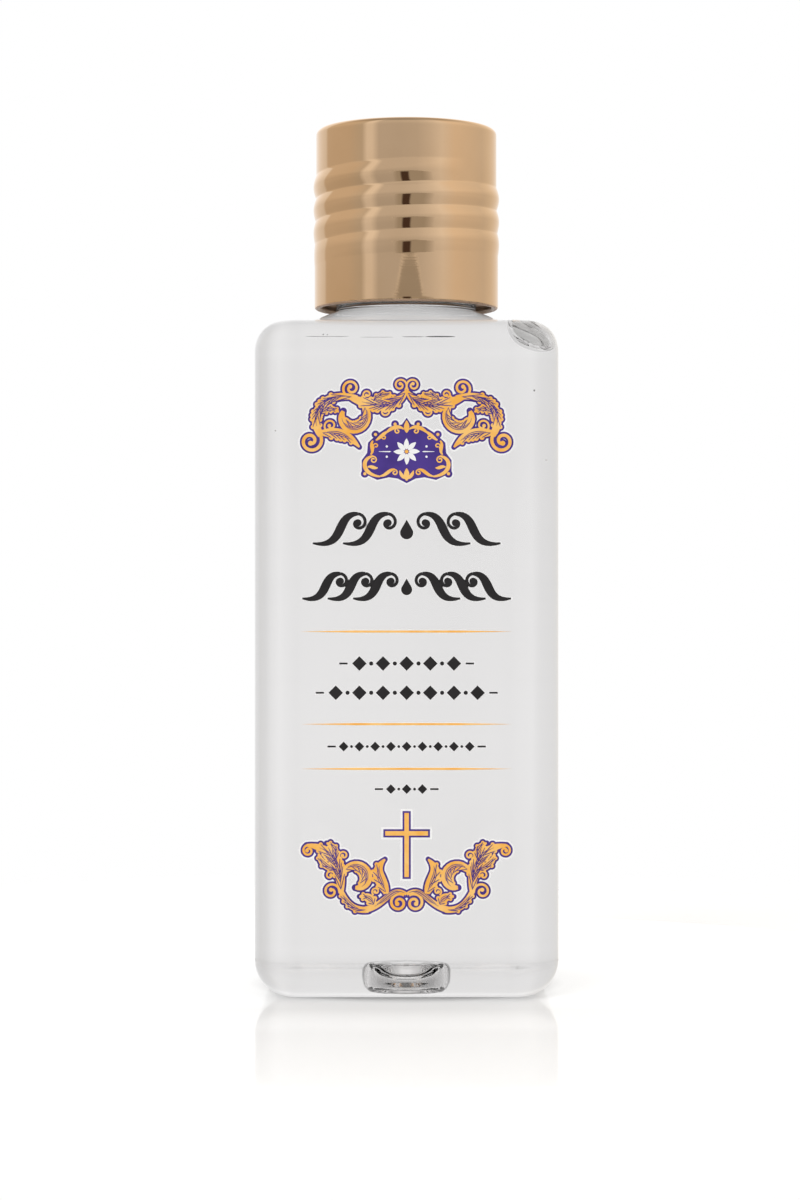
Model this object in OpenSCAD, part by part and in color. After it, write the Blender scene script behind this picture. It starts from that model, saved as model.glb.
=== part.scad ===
// Small square bottle of holy water with a tall gold screw cap and a printed front panel.
// Millimetres, +Z up, origin on the ground at the middle of the base, printed panel towards -Y.

/* [Body] */
// Width of the body, left to right
body_w = 45; // [38:0.5:60]
// Depth of the body, front to back
body_d = 45; // [38:0.5:60]
// Height of the shoulder above the ground
body_h = 100; // [85:1:130]
// Radius of the four upright corners
corner_r = 6.5; // [5:0.5:10]
// Radius of the heel, limited by the corner radius
heel_r = 5.5; // [3:0.5:8]
// Radius of the shoulder edge, limited by the corner radius
shoulder_r = 5; // [3:0.5:8]
// Thickness of the blown wall
wall_t = 0.6; // [0.4:0.05:1]
// Thickness of the floor
floor_t = 1; // [0.6:0.1:1.6]

/* [Push-up] */
// Diameter of the push-up's flat top, seen from below
pushup_d = 10.6; // [8:0.2:14]
// Diameter of the push-up where it leaves the ground
pushup_foot_d = 17; // [15:0.5:24]
// Height of the push-up
pushup_h = 2.7; // [1.5:0.1:4]
// Diameter of the gate nub where it hangs from the push-up
gate_d = 7.6; // [4:0.2:7.8]
// Diameter of the gate nub's tip
gate_tip_d = 5.4; // [2:0.2:5.6]
// Clearance of the gate nub's tip above the ground
gate_gap = 0.5; // [0.3:0.1:1]

/* [Neck] */
// Outer diameter of the neck wall
neck_d = 21.5; // [18:0.5:26]
// Thickness of the neck wall
neck_t = 2.1; // [1.6:0.1:2.6]
// Height of the rim above the shoulder
neck_h = 21; // [18:0.5:26]
// Width of the cone between shoulder and neck, limited by the flat of the shoulder
neck_cone_w = 6.1; // [2:0.1:6.2]
// Rise of that cone
neck_cone_h = 2.7; // [0.6:0.1:3]
// How far the transfer bead stands out of the neck
bead_out = 1; // [0.6:0.1:1.2]
// Height of the transfer bead above the shoulder
bead_rise = 5; // [4:0.1:6]
// Thickness of the transfer bead
bead_t = 1.2; // [0.8:0.1:1.6]

/* [Thread] */
// Climb of the thread in one turn
thread_pitch = 3.175; // [2.8:0.005:3.6]
// Height of the neck's thread ridge
thread_out = 1.2; // [0.8:0.1:1.4]
// Turns of the neck's thread ridge
thread_turns = 1.75; // [1:0.25:2.25]
// Depth of the upper end of the neck's thread below the rim
thread_drop = 2.6; // [2.2:0.1:4]
// Width of both thread ridges where they leave their wall
thread_root_w = 1.7; // [1.2:0.1:1.8]
// Width of both thread ridges at their crest
thread_crest_w = 0.7; // [0.5:0.1:0.9]
// Clearance between a crest and the wall that it faces
thread_gap = 0.2; // [0.15:0.05:0.4]

/* [Pour plug] */
// How far the plug's flange stays inside the neck's outer wall
plug_flange_step = 0.5; // [0.3:0.1:1]
// Thickness of the plug's flange
plug_flange_t = 1; // [0.6:0.1:1.5]
// Depth of the plug in the bore
plug_depth = 7; // [4:0.5:10]
// Wall of the plug
plug_t = 0.9; // [0.6:0.1:1.4]
// Diameter of the pouring hole
pour_d = 3; // [1.5:0.25:3.5]
// Radial clearance of the plug in the bore
plug_fit = 0.05; // [0.02:0.01:0.1]

/* [Water] */
// Air between the water and the plug
headspace = 3; // [1:0.5:6]
// Gap that keeps the water clear of the wall
water_gap = 0.05; // [0.02:0.01:0.1]

/* [Cap] */
// Thickness of the sealing wad
liner_t = 1.2; // [0.8:0.1:2]
// Radial clearance of the wad in the core
liner_fit = 0.3; // [0.2:0.05:0.5]
// Wall of the core around its thread
core_t = 0.9; // [0.7:0.05:1.3]
// Thickness of the core's roof
core_roof_t = 1.4; // [1:0.1:2]
// Height of the hollow between the core's roof and the top of the shell
core_hollow_h = 5.4; // [3:0.1:8]
// Number of ribs in that hollow
core_ribs = 6; // [3:1:10]
// Thickness of those ribs
core_rib_t = 1; // [0.6:0.1:1.4]
// Radial clearance between core and shell
core_fit = 0.05; // [0.02:0.01:0.1]
// Recess of the core above the lower lip of the shell
core_recess = 2.8; // [1.5:0.1:4]
// Thickness of the shell's metal
shell_t = 0.75; // [0.5:0.05:1]
// Gap between the shoulder and the shell's lower lip
cap_gap = 3.2; // [2.2:0.1:4]
// Radius of the shell's upper edge
cap_edge_r = 0.9; // [0.8:0.1:1.5]
// How far the skirt stands out of the upper shell
skirt_out = 0.25; // [0.1:0.05:0.5]
// Height of the skirt
skirt_h = 8.4; // [6:0.2:10]
// Diameter of the rolled hem in the lower lip
hem_d = 1; // [0.8:0.1:1.4]

/* [Spiral bead] */
// Climb of the bead in one turn
spiral_pitch = 3.5; // [3:0.1:4]
// Turns of the bead
spiral_turns = 3.4; // [2:0.1:3.4]
// Width of the bead
spiral_w = 2.6; // [2:0.1:2.8]
// How far the bead stands out of the shell
spiral_out = 0.42; // [0.25:0.01:0.5]
// Height of the bead's lower end above the top of the skirt
spiral_rise = -0.4; // [-0.5:0.1:1]
// Bearing of the bead's lower end
spiral_start = 150; // [0:10:350]

/* [Print] */
// Thickness of the ink film
ink_t = 0.08; // [0.05:0.01:0.15]
// Space between the print and the round corners
print_side = 0.5; // [0:0.1:3]
// Space between the print and the heel
print_low = 7.6; // [3:0.1:12]
// Space between the print and the shoulder edge
print_high = 4.2; // [2:0.1:10]
// Width of the cross
cross_w = 6.8; // [5:0.1:8]
// Height of the cross
cross_h = 9.9; // [8:0.1:11]
// Width of the cross's bars
cross_bar = 1.2; // [0.8:0.1:1.6]
// Height of the crossbar above the middle of the cross
cross_rise = 1.7; // [1:0.1:2.5]
// Thickness of the tapered rules at their middle
rule_t = 0.3; // [0.2:0.05:0.5]
// Width of the plaque
plaque_w = 13; // [10:0.2:14]
// Height of the plaque
plaque_h = 9.4; // [8:0.2:10]

/* [Hidden] */

$fn = 96;
EPS = 0.01;
// Facets in one turn of a ridge, and the angle over which its ends fade into the wall
ridge_facets = 40;
ridge_fade = 50;
// Depth that a ridge is rooted in its wall, and the share of its height left at its sunken ends
ridge_root = 0.25;
ridge_end = 0.1;

heel = min(heel_r, corner_r);
shoulder = min(shoulder_r, corner_r);
neck_r = neck_d / 2;
bore_r = neck_r - neck_t;
rim_z = body_h + neck_h;
cone_r = min(neck_r + neck_cone_w, min(body_w, body_d) / 2 - shoulder - wall_t);
cone_slope = neck_cone_h / (cone_r - neck_r);
thread_r = neck_r + thread_out;
thread_h = thread_pitch * thread_turns;
thread_low_z = rim_z - thread_drop - thread_h;
plug_top_z = rim_z + plug_flange_t;
plug_foot_z = rim_z - plug_depth;
water_top_z = plug_foot_z - headspace;
core_bore_r = thread_r + thread_gap;
core_r = core_bore_r + core_t;
core_ceiling_z = plug_top_z + liner_t;
core_roof_z = core_ceiling_z + core_roof_t;
core_top_z = core_roof_z + core_hollow_h;
lip_z = body_h + cap_gap;
core_foot_z = lip_z + core_recess;
shell_in_r = core_r + core_fit;
shell_r = shell_in_r + shell_t;
skirt_r = shell_r + skirt_out;
cap_top_z = core_top_z + shell_t;
skirt_top_z = lip_z + skirt_h;

// Width of the print, and the units across it in which its strokes are drawn
print_w = body_w - 2 * corner_r - 2 * print_side;
print_units = 31;
print_foot_z = heel + print_low;
print_h = body_h - shoulder - print_high - print_foot_z;
// Heights of the motifs in the print, as shares of its own height
upper_scroll_at = 0.93;
plaque_at = 0.867;
wave_rows_at = [0.72, 0.612];
rules_at = [0.527, 0.353, 0.269];
rows_at = [0.467, 0.412, 0.311, 0.231];
cross_at = 0.126;
lower_scroll_at = 0.069;
// Steps in a brush stroke, and in a full turn of a volute
stroke_steps = 14;
volute_steps = 18;

// Upright outline w wide and h high with round lower and upper corners
module upright(w, h, low_r, top_r) {
    translate([-w / 2, low_r])
        square([w, h - low_r - top_r]);
    translate([-w / 2 + low_r, 0])
        square([w - 2 * low_r, low_r]);
    translate([-w / 2 + top_r, h - top_r])
        square([w - 2 * top_r, top_r]);
    for (side = [-1, 1]) {
        translate([side * (w / 2 - low_r), low_r])
            circle(low_r);
        translate([side * (w / 2 - top_r), h - top_r])
            circle(top_r);
    }
}

// Square tank standing on z = 0, with round upright corners, heel and shoulder
module tank(w, d, h, plan_r, low_r, top_r) {
    rotate([90, 0, 0])
        linear_extrude(d - 2 * plan_r, center = true)
            upright(w, h, low_r, top_r);
    rotate([90, 0, 90])
        linear_extrude(w - 2 * plan_r, center = true)
            upright(d, h, low_r, top_r);
    for (quarter = [0:3])
        mirror([quarter % 2, 0, 0])
            mirror([0, quarter >= 2 ? 1 : 0, 0])
                translate([w / 2 - plan_r, d / 2 - plan_r, 0])
                    rotate_extrude(angle = 90)
                        intersection() {
                            upright(2 * plan_r, h, low_r, top_r);
                            square([plan_r, h]);
                        }
}

// Ring of points across a ridge at one station, with the crest raised by the share lift
function ridge_ring(angle, z, foot_r, crest_r, foot_w, crest_w, lift) =
    let (r = foot_r + (crest_r - foot_r) * lift)
    [for (p = [[foot_r, -foot_w], [r, -crest_w], [r, crest_w], [foot_r, foot_w]])
        [p[0] * cos(angle), p[0] * sin(angle), z + p[1] / 2]];

// Right-hand helical ridge from foot_r to crest_r, inwards or outwards, with ends that fade into the wall
module ridge(foot_r, crest_r, foot_w, crest_w, pitch, turns, z, start) {
    steps = ceil(turns * ridge_facets);
    sweep = 360 * turns;
    rings = [for (i = [0:steps])
        let (a = sweep * i / steps, lift = max(ridge_end, min(1, a / ridge_fade, (sweep - a) / ridge_fade)))
        ridge_ring(start + a, z + pitch * a / 360, foot_r, crest_r, foot_w, crest_w, lift)];
    side = [for (i = [0:steps - 1], k = [0:3])
        let (a = 4 * i + k, b = 4 * i + (k + 1) % 4)
        each [[a, b, b + 4], [a, b + 4, a + 4]]];
    last = 4 * steps;
    ends = [[3, 2, 1], [3, 1, 0], [last, last + 1, last + 2], [last, last + 2, last + 3]];
    outward = crest_r > foot_r;
    faces = [for (f = concat(side, ends)) outward ? f : [f[2], f[1], f[0]]];
    polyhedron([for (ring = rings) each ring], faces);
}

// Hollow inside the bottle up to top_z, a gap away from its wall, with the push-up standing in its floor
module cavity(gap, top_z) {
    inset = wall_t + gap;
    low_z = floor_t + gap;
    high_z = body_h - inset;
    difference() {
        translate([0, 0, low_z])
            tank(body_w - 2 * inset, body_d - 2 * inset, high_z - low_z,
                 corner_r - inset, heel - inset, shoulder - inset);
        translate([0, 0, low_z])
            cylinder(h = pushup_h, r1 = pushup_foot_d / 2 + inset, r2 = pushup_d / 2 + inset);
    }
    // The roof follows the cone outside, one wall below it
    foot_r = cone_r - inset;
    bore = bore_r - gap;
    translate([0, 0, high_z])
        cylinder(h = cone_slope * (foot_r - bore), r1 = foot_r, r2 = bore);
    translate([0, 0, high_z - EPS])
        cylinder(r = bore, h = top_z - high_z + EPS);
}

module bottle_body() {
    color([0.86, 0.88, 0.9, 0.45]) {
        difference() {
            union() {
                tank(body_w, body_d, body_h, corner_r, heel, shoulder);
                translate([0, 0, body_h])
                    cylinder(h = neck_cone_h, r1 = cone_r, r2 = neck_r);
                translate([0, 0, body_h])
                    cylinder(r = neck_r, h = neck_h);
                translate([0, 0, body_h + bead_rise])
                    cylinder(r = neck_r + bead_out, h = bead_t);
            }
            cavity(0, rim_z + EPS);
            difference() {
                translate([0, 0, -EPS])
                    cylinder(h = pushup_h + EPS, r1 = pushup_foot_d / 2, r2 = pushup_d / 2);
                translate([0, 0, gate_gap])
                    cylinder(h = pushup_h, r1 = gate_tip_d / 2, r2 = gate_d / 2);
            }
        }
        ridge(neck_r - ridge_root, thread_r, thread_root_w, thread_crest_w,
              thread_pitch, thread_turns, thread_low_z, 0);
    }
}

module water() {
    color([0.75, 0.85, 0.9, 0.4])
        cavity(water_gap, water_top_z);
}

module pour_plug() {
    color([0.93, 0.94, 0.93])
        difference() {
            union() {
                translate([0, 0, rim_z])
                    cylinder(r = neck_r - plug_flange_step, h = plug_flange_t);
                translate([0, 0, plug_foot_z])
                    cylinder(r = bore_r - plug_fit, h = plug_depth);
            }
            translate([0, 0, plug_foot_z - EPS])
                cylinder(r = bore_r - plug_fit - plug_t, h = plug_depth + EPS);
            translate([0, 0, rim_z - EPS])
                cylinder(d = pour_d, h = plug_flange_t + 2 * EPS);
        }
}

module cap_liner() {
    color([0.95, 0.95, 0.93])
        translate([0, 0, plug_top_z])
            cylinder(r = core_bore_r - liner_fit, h = liner_t);
}

module cap_core() {
    color([0.9, 0.9, 0.88]) {
        difference() {
            translate([0, 0, core_foot_z])
                cylinder(r = core_r, h = core_top_z - core_foot_z);
            translate([0, 0, core_foot_z - EPS])
                cylinder(r = core_bore_r, h = core_ceiling_z - core_foot_z + EPS);
            translate([0, 0, core_roof_z])
                cylinder(r = core_bore_r, h = core_hollow_h + EPS);
        }
        for (i = [0:core_ribs - 1])
            rotate(360 * i / core_ribs)
                translate([0, -core_rib_t / 2, core_roof_z])
                    cube([core_bore_r + core_t / 2, core_rib_t, core_hollow_h]);
        ridge(core_bore_r + ridge_root, neck_r + thread_gap, thread_root_w, thread_crest_w,
              thread_pitch, thread_turns, thread_low_z - thread_pitch / 2, 0);
    }
}

// Half section of the shell's outside: upper shell with its round edge, and the skirt
module shell_section() {
    square([shell_r, cap_top_z - cap_edge_r - lip_z]);
    square([shell_r - cap_edge_r, cap_top_z - lip_z]);
    translate([shell_r - cap_edge_r, cap_top_z - cap_edge_r - lip_z])
        circle(cap_edge_r);
    polygon([[0, 0], [skirt_r, 0], [skirt_r, skirt_h - skirt_out], [shell_r, skirt_h], [0, skirt_h]]);
}

module cap_shell() {
    color([0.78, 0.62, 0.42]) {
        difference() {
            union() {
                translate([0, 0, lip_z])
                    rotate_extrude()
                        intersection() {
                            shell_section();
                            square([2 * skirt_r, 2 * cap_top_z]);
                        }
                ridge(shell_r - ridge_root, shell_r + spiral_out, spiral_w, spiral_w / 3,
                      spiral_pitch, spiral_turns, skirt_top_z + spiral_rise, spiral_start);
            }
            translate([0, 0, lip_z - EPS])
                cylinder(r = shell_in_r, h = core_top_z - lip_z + EPS);
            translate([0, 0, lip_z - EPS])
                cylinder(r = skirt_r - shell_t, h = core_foot_z - lip_z);
        }
        translate([0, 0, lip_z + hem_d / 2])
            rotate_extrude()
                translate([skirt_r - hem_d / 2, 0])
                    circle(d = hem_d);
    }
}

function bezier(p, t) =
    let (u = 1 - t)
    u * u * u * p[0] + 3 * u * u * t * p[1] + 3 * u * t * t * p[2] + t * t * t * p[3];

// Path of a brush stroke along four control points
function stem(p) = [for (i = [0:stroke_steps]) bezier(p, i / stroke_steps)];

// Path of a volute about c, from radius r0 to r1, from bearing a through a signed number of turns
function volute(c, r0, r1, a, turns) =
    let (steps = ceil(abs(turns) * volute_steps))
    [for (i = [0:steps])
        let (t = i / steps, r = r0 + (r1 - r0) * t, b = a + 360 * turns * t)
        c + r * [cos(b), sin(b)]];

// Width of a stroke at the share t of its length, from its start, middle and end widths
function swell(w, t) = w[0] * (1 - t) * (1 - 2 * t) + 4 * w[1] * t * (1 - t) + w[2] * t * (2 * t - 1);

// Brush stroke along a path
module brush(path, w) {
    last = len(path) - 1;
    sides = [for (side = [1, -1])
        [for (k = [0:last])
            let (i = side > 0 ? k : last - k,
                 run = path[min(i + 1, last)] - path[max(i - 1, 0)],
                 across = [-run[1], run[0]] / norm(run))
            path[i] + side * across * swell(w, i / last) / 2]];
    polygon(concat(sides[0], sides[1]));
}

// Volute that ends in a round eye
module curl(c, r0, r1, a, turns, w) {
    brush(volute(c, r0, r1, a, turns), [w, w, w]);
    translate(c)
        circle(r1 + w / 2);
}

// Film of ink on the front panel, with its middle at a share of the print's height
module film(at) {
    translate([0, -body_d / 2, print_foot_z + at * print_h])
        rotate([90, 0, 0])
            linear_extrude(ink_t)
                children();
}

// Strokes drawn in the print's own units
module drawn() {
    scale(print_w / print_units)
        children();
}

module both_sides() {
    children();
    mirror([1, 0])
        children();
}

module upper_scroll() {
    color([0.95, 0.7, 0.28])
        film(upper_scroll_at)
            drawn()
                both_sides() {
                    brush(stem([[0, 3.9], [1.2, 1.4], [4.6, 1.1], [8.4, 3]]), [0.4, 1.7, 0.7]);
                    curl([0.95, 4.65], 1.02, 0.22, 225, -1.35, 0.28);
                    brush(stem([[7.2, 2.8], [12.6, 4.1], [14.4, -0.2], [12.5, -2.7]]), [0.7, 1.3, 0.9]);
                    curl([8.1, 4.2], 1.25, 0.28, -50, 1.3, 0.36);
                    curl([14, -3.5], 1.65, 0.33, 150, 1.35, 0.48);
                    brush(volute([7.9, 0.2], 2.25, 1.5, 120, 0.74), [0.5, 1.6, 0.5]);
                    brush(stem([[12.6, -2.3], [10.6, -2.3], [8.8, -2.1], [6.9, -4.4]]), [0.7, 1.5, 0.25]);
                    brush(stem([[12.8, 0.2], [11.8, 1.5], [10.6, 1.4], [9.9, 0.7]]), [0.5, 0.9, 0.2]);
                    curl([11.1, -1.25], 0.95, 0.2, -40, 1.1, 0.28);
                    brush(stem([[5, 2.1], [4.2, 3.4], [3, 3.5], [2, 3.1]]), [0.4, 0.8, 0.2]);
                    curl([5.75, 3.3], 0.7, 0.18, -90, 1.1, 0.26);
                    curl([3.2, 0.8], 0.75, 0.18, 120, 1.1, 0.26);
                }
}

module lower_scroll() {
    color([0.95, 0.7, 0.28])
        film(lower_scroll_at)
            drawn()
                both_sides() {
                    brush(stem([[0, -2.75], [2.2, -1.2], [3, -4.4], [6, -5]]), [0.45, 0.75, 0.9]);
                    brush(stem([[5.6, -5], [8.2, -5.3], [9, -3.6], [9.7, -2.1]]), [0.9, 0.9, 0.7]);
                    brush(stem([[9.6, -2.6], [9.5, 0.6], [10.3, 4.2], [14.6, 4.4]]), [0.7, 1.6, 0.4]);
                    curl([14.35, 3.6], 0.82, 0.2, 75, -1.2, 0.32);
                    curl([1.15, -4], 1.35, 0.28, 126, -1.45, 0.4);
                    curl([11, -2.35], 1.2, 0.25, 170, -1.25, 0.34);
                    brush(volute([7.4, -0.45], 2.05, 1.35, 15, 0.72), [0.5, 1.6, 0.5]);
                    brush(stem([[3, -2.7], [3.2, -1], [5.4, 0.3], [3.15, 2.35]]), [0.7, 1.7, 0.25]);
                    brush(stem([[4.8, -4.4], [5, -3.4], [5.8, -3], [6.9, -3.1]]), [0.7, 1.3, 0.25]);
                    brush(stem([[10, 0.9], [11.4, 0.8], [12.8, 2], [12.8, 3.2]]), [0.4, 1, 0.25]);
                    brush(stem([[10.3, 2.2], [10.1, 3.6], [10.7, 4.5], [11.7, 4.7]]), [0.4, 0.9, 0.25]);
                    curl([4.5, -2.35], 0.62, 0.16, -60, 1.1, 0.24);
                    curl([11.2, 0], 0.72, 0.18, 200, -1.1, 0.26);
                    curl([9.2, 2.9], 0.72, 0.18, -40, 1.1, 0.26);
                }
}

// Bell-shaped cartouche with round knobs, its outline as shares of its width and height
module plaque() {
    half = [[0, 0.5], [0.05, 0.4], [0.21, 0.36], [0.33, 0.25], [0.43, 0.12], [0.44, -0.04], [0.5, -0.15],
            [0.5, -0.34], [0.33, -0.45], [0.2, -0.41], [0.1, -0.43], [0, -0.5]];
    knobs = [[0.13, 0.41], [0.35, 0.25], [0.47, -0.36]];
    knob_r = plaque_h / 18;
    last = len(half) - 1;
    color([0.3, 0.2, 0.6])
        film(plaque_at) {
            polygon([for (i = [0:2 * last - 1])
                let (p = half[i <= last ? i : 2 * last - i])
                [(i <= last ? p[0] : -p[0]) * plaque_w, p[1] * plaque_h]]);
            both_sides()
                for (knob = knobs)
                    translate([knob[0] * plaque_w, knob[1] * plaque_h])
                        circle(knob_r);
        }
}

// One rolling wave of the given length, that rises from the trough before it and ends in a curled crest
module wave(length) {
    crest = 0.5 * length;
    eye = [0.5 * length, 0.2 * length];
    back = [[-length, -0.48 * length], [0.15 * length, -0.68 * length],
            [-0.3 * length, crest], [eye[0], crest]];
    brush(stem(back), [0.25, 1.3, 0.5]);
    curl(eye, crest - eye[1], 0.3, 90, -0.9, 0.45);
}

// Drop of water with a round end of radius r
module drop(r) {
    circle(r);
    polygon([[-sqrt(3) / 2 * r, r / 2], [0, 2 * r], [sqrt(3) / 2 * r, r / 2]]);
}

// Two rows of rolling waves that run from both sides to a drop in the middle
module wave_band() {
    counts = [2, 3];
    lengths = [4.4, 3.7];
    drop_rs = [0.95, 0.8];
    // Distance of the innermost crests from the middle, and depth of the drop, in radii of the drop
    clear = 2.85;
    sink = 0.6;
    color([0.08, 0.07, 0.08])
        for (row = [0, 1])
            film(wave_rows_at[row])
                drawn() {
                    translate([0, -sink * drop_rs[row]])
                        drop(drop_rs[row]);
                    both_sides()
                        for (i = [0:counts[row] - 1])
                            translate([-clear * drop_rs[row] - (i + 0.5) * lengths[row], 0])
                                wave(lengths[row]);
                }
}

// Rules that taper to both ends
module gold_rules() {
    half = print_w / 2;
    color([0.93, 0.68, 0.25])
        for (at = rules_at)
            film(at)
                polygon([[-half, 0], [-half / 2, rule_t / 2], [half / 2, rule_t / 2],
                         [half, 0], [half / 2, -rule_t / 2], [-half / 2, -rule_t / 2]]);
}

// Rows of lozenges with dots between them and a dash at either end
module row_marks() {
    counts = [5, 7, 9, 3];
    sizes = [1.5, 1.5, 1, 1];
    dash = [1.2, 0.25];
    color([0.08, 0.07, 0.08])
        for (row = [0:3]) {
            step = 2.3 * sizes[row];
            span = (counts[row] - 1) * step;
            film(rows_at[row])
                drawn() {
                    for (i = [0:counts[row] - 1])
                        translate([i * step - span / 2, 0])
                            rotate(45)
                                square(sizes[row], center = true);
                    for (i = [1:counts[row] - 1])
                        translate([(i - 0.5) * step - span / 2, 0])
                            circle(0.2 * sizes[row]);
                    for (side = [-1, 1])
                        translate([side * (span + step + dash[0]) / 2, 0])
                            square(dash, center = true);
                }
        }
}

module cross() {
    color([0.95, 0.72, 0.3])
        film(cross_at) {
            square([cross_bar, cross_h], center = true);
            translate([0, cross_rise])
                square([cross_w, cross_bar], center = true);
        }
}

bottle_body();
water();
pour_plug();
cap_liner();
cap_core();
cap_shell();
upper_scroll();
plaque();
wave_band();
gold_rules();
row_marks();
cross();
lower_scroll();
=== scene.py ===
import math

import bmesh
import bpy
from mathutils import Matrix, Vector
from mathutils.geometry import delaunay_2d_cdt


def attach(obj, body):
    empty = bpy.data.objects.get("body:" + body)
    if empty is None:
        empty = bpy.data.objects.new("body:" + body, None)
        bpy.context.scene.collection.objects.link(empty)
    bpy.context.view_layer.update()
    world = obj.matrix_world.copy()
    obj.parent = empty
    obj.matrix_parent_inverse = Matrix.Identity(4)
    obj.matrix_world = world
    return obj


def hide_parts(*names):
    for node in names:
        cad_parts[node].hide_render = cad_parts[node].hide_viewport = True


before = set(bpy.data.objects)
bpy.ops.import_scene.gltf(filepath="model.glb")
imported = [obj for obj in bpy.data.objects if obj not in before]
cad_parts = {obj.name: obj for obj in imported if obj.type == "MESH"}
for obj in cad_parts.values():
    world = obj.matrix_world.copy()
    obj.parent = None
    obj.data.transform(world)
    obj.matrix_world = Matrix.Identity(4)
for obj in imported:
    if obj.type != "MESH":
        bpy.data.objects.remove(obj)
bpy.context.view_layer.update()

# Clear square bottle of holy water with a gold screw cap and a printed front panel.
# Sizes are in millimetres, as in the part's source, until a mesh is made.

MM = 0.001
TAU = 2 * math.pi

# Body
BODY_HALF = 22.5
BODY_H = 100
CORNER_R = 6.5
HEEL_R = 5.5
SHOULDER_R = 5
# Power below 1 that lets the shoulder grow softly out of the flat wall
SOFTNESS = 0.86
WALL_T = 0.6
FLOOR_T = 1
# Push-up and gate nub
FOOT_R = 8.5
FOOT_BLEND = 0.35
PUSHUP_R = 5.3
PUSHUP_H = 2.7
GATE_R = 3.8
GATE_TIP_R = 2.7
GATE_GAP = 0.5
# Neck and thread
NECK_R = 10.75
BORE_R = 8.65
RIM_Z = 121
CONE_R = 16.85
CONE_FOOT_R = CONE_R + 0.4
# Section of the cone between shoulder and neck as radius and rise above the shoulder: its flank, which the inside
# follows one wall lower, and its ends at the neck and at the bore
CONE_FLANK = [(CONE_FOOT_R, 0), (CONE_R, 0.06), (16.3, 0.4), (15.2, 1.0), (14, 1.55), (12.6, 2.1), (11.5, 2.47)]
CONE_NECK = [(10.98, 2.68), (10.8, 2.86), (NECK_R, 3.1)]
CONE_BORE = [(10.2, 2.55), (9.3, 2.85), (8.85, 3.05), (BORE_R, 3.3)]
COLLAR_R = 11.75
COLLAR_Z = 105
COLLAR_T = 1.2
COLLAR_EDGE_R = 0.2
RIM_EDGE_R = 0.3
THREAD_PITCH = 3.175
THREAD_TURNS = 1.75
THREAD_Z = 112.84
THREAD_OUT = 1.2
# Half of the thread's width at its foot, the width of its flanks, and how fast its ends rise with each turn
THREAD_REACH = 0.85
THREAD_FLANK = 0.5
THREAD_FADE = 7.2
# Rings of the neck that carry the thread
THREAD_LOW = 111.6
THREAD_STEP = 0.17
THREAD_RINGS = 46
# Water: it reaches into the wall, so that plastic and water have no air between them
WATER_TOP = 111
WATER_SINK = 0.25
MENISCUS = 0.55
# Cap shell
SHELL_R = 13.85
SKIRT_R = 14.1
SHELL_IN_R = 13.1
SKIRT_IN_R = 13.35
LIP_Z = 103.2
CAP_TOP = 130.75
CAP_CEILING = 130
CAP_EDGE_R = 0.9
CORE_FOOT = 106
HEM_R = 0.5
# The wall spreads from the upper shell to the skirt under its spiral bead
WALL_SPREAD_TOP = 121
WALL_SPREAD_LOW = 110.5
BEAD_PITCH = 3.5
BEAD_TURNS = 3.45
BEAD_OUT = 0.42
BEAD_FADE = 5.0
BEAD_FOOT = 111.1
BEAD_START = 150
# Print
PANEL_Y = -22.5
INK_T = 0.08
PRINT_FOOT = 13.1
PRINT_H = 77.7


# ---- node helpers

def link(value, socket):
    """Join an output to a socket of its tree, or set the socket to a plain value."""
    if isinstance(value, bpy.types.NodeSocket):
        socket.id_data.links.new(value, socket)
    else:
        socket.default_value = value


def node_of(tree, kind, inputs, **settings):
    """Node with these settings, whose inputs, by name or by number, are joined or set."""
    node = tree.nodes.new(kind)
    for setting, value in settings.items():
        setattr(node, setting, value)
    for key, value in inputs.items():
        link(value, node.inputs[key])
    return node


def math_of(operation, a, b=0.0):
    return node_of(a.id_data, "ShaderNodeMath", {0: a, 1: b}, operation=operation).outputs[0]


def product(first, *others):
    for other in others:
        first = math_of("MULTIPLY", first, other)
    return first


def clamped(value):
    return math_of("MINIMUM", math_of("MAXIMUM", value, 0.0), 1.0)


def share_of(value, factor=0.5):
    """Share from 0 to 1 of a value that runs both ways from 0."""
    return math_of("ADD", product(value, factor), 0.5)


def ramp_of(value, stops, interpolation="LINEAR"):
    """Colour ramp with stops of (place, grey or colour)."""
    node = node_of(value.id_data, "ShaderNodeValToRGB", {"Fac": value})
    node.color_ramp.interpolation = interpolation
    elements = node.color_ramp.elements
    while len(elements) < len(stops):
        elements.new(0.5)
    for element, (place, tone) in zip(elements, stops):
        element.position = place
        element.color = (*tone, 1) if isinstance(tone, tuple) else (tone, tone, tone, 1)
    return node.outputs["Color"]


def object_coords(tree, stretch=(1, 1, 1)):
    coords = tree.nodes.new("ShaderNodeTexCoord").outputs["Object"]
    return node_of(tree, "ShaderNodeMapping", {"Vector": coords, "Scale": stretch}).outputs["Vector"]


def noise_of(tree, scale, detail=2.0, stretch=(1, 1, 1)):
    inputs = {"Vector": object_coords(tree, stretch), "Scale": scale, "Detail": detail}
    return node_of(tree, "ShaderNodeTexNoise", inputs).outputs["Fac"]


def finish_named(name, **sockets):
    """Material whose shader has these constant values, with its node tree to add patterns to."""
    mat = bpy.data.materials.new(name)
    mat.use_nodes = True
    for socket, value in sockets.items():
        mat.node_tree.nodes["Principled BSDF"].inputs[socket.replace("_", " ")].default_value = value
    return mat, mat.node_tree


def vary(socket, pattern, low, high, reach=0.2):
    """Vary a socket of a finish between two values with a pattern, whose middle part does it."""
    tone = ramp_of(pattern, [(0.5 - reach, low), (0.5 + reach, high)])
    link(tone, tone.id_data.nodes["Principled BSDF"].inputs[socket])


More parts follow.
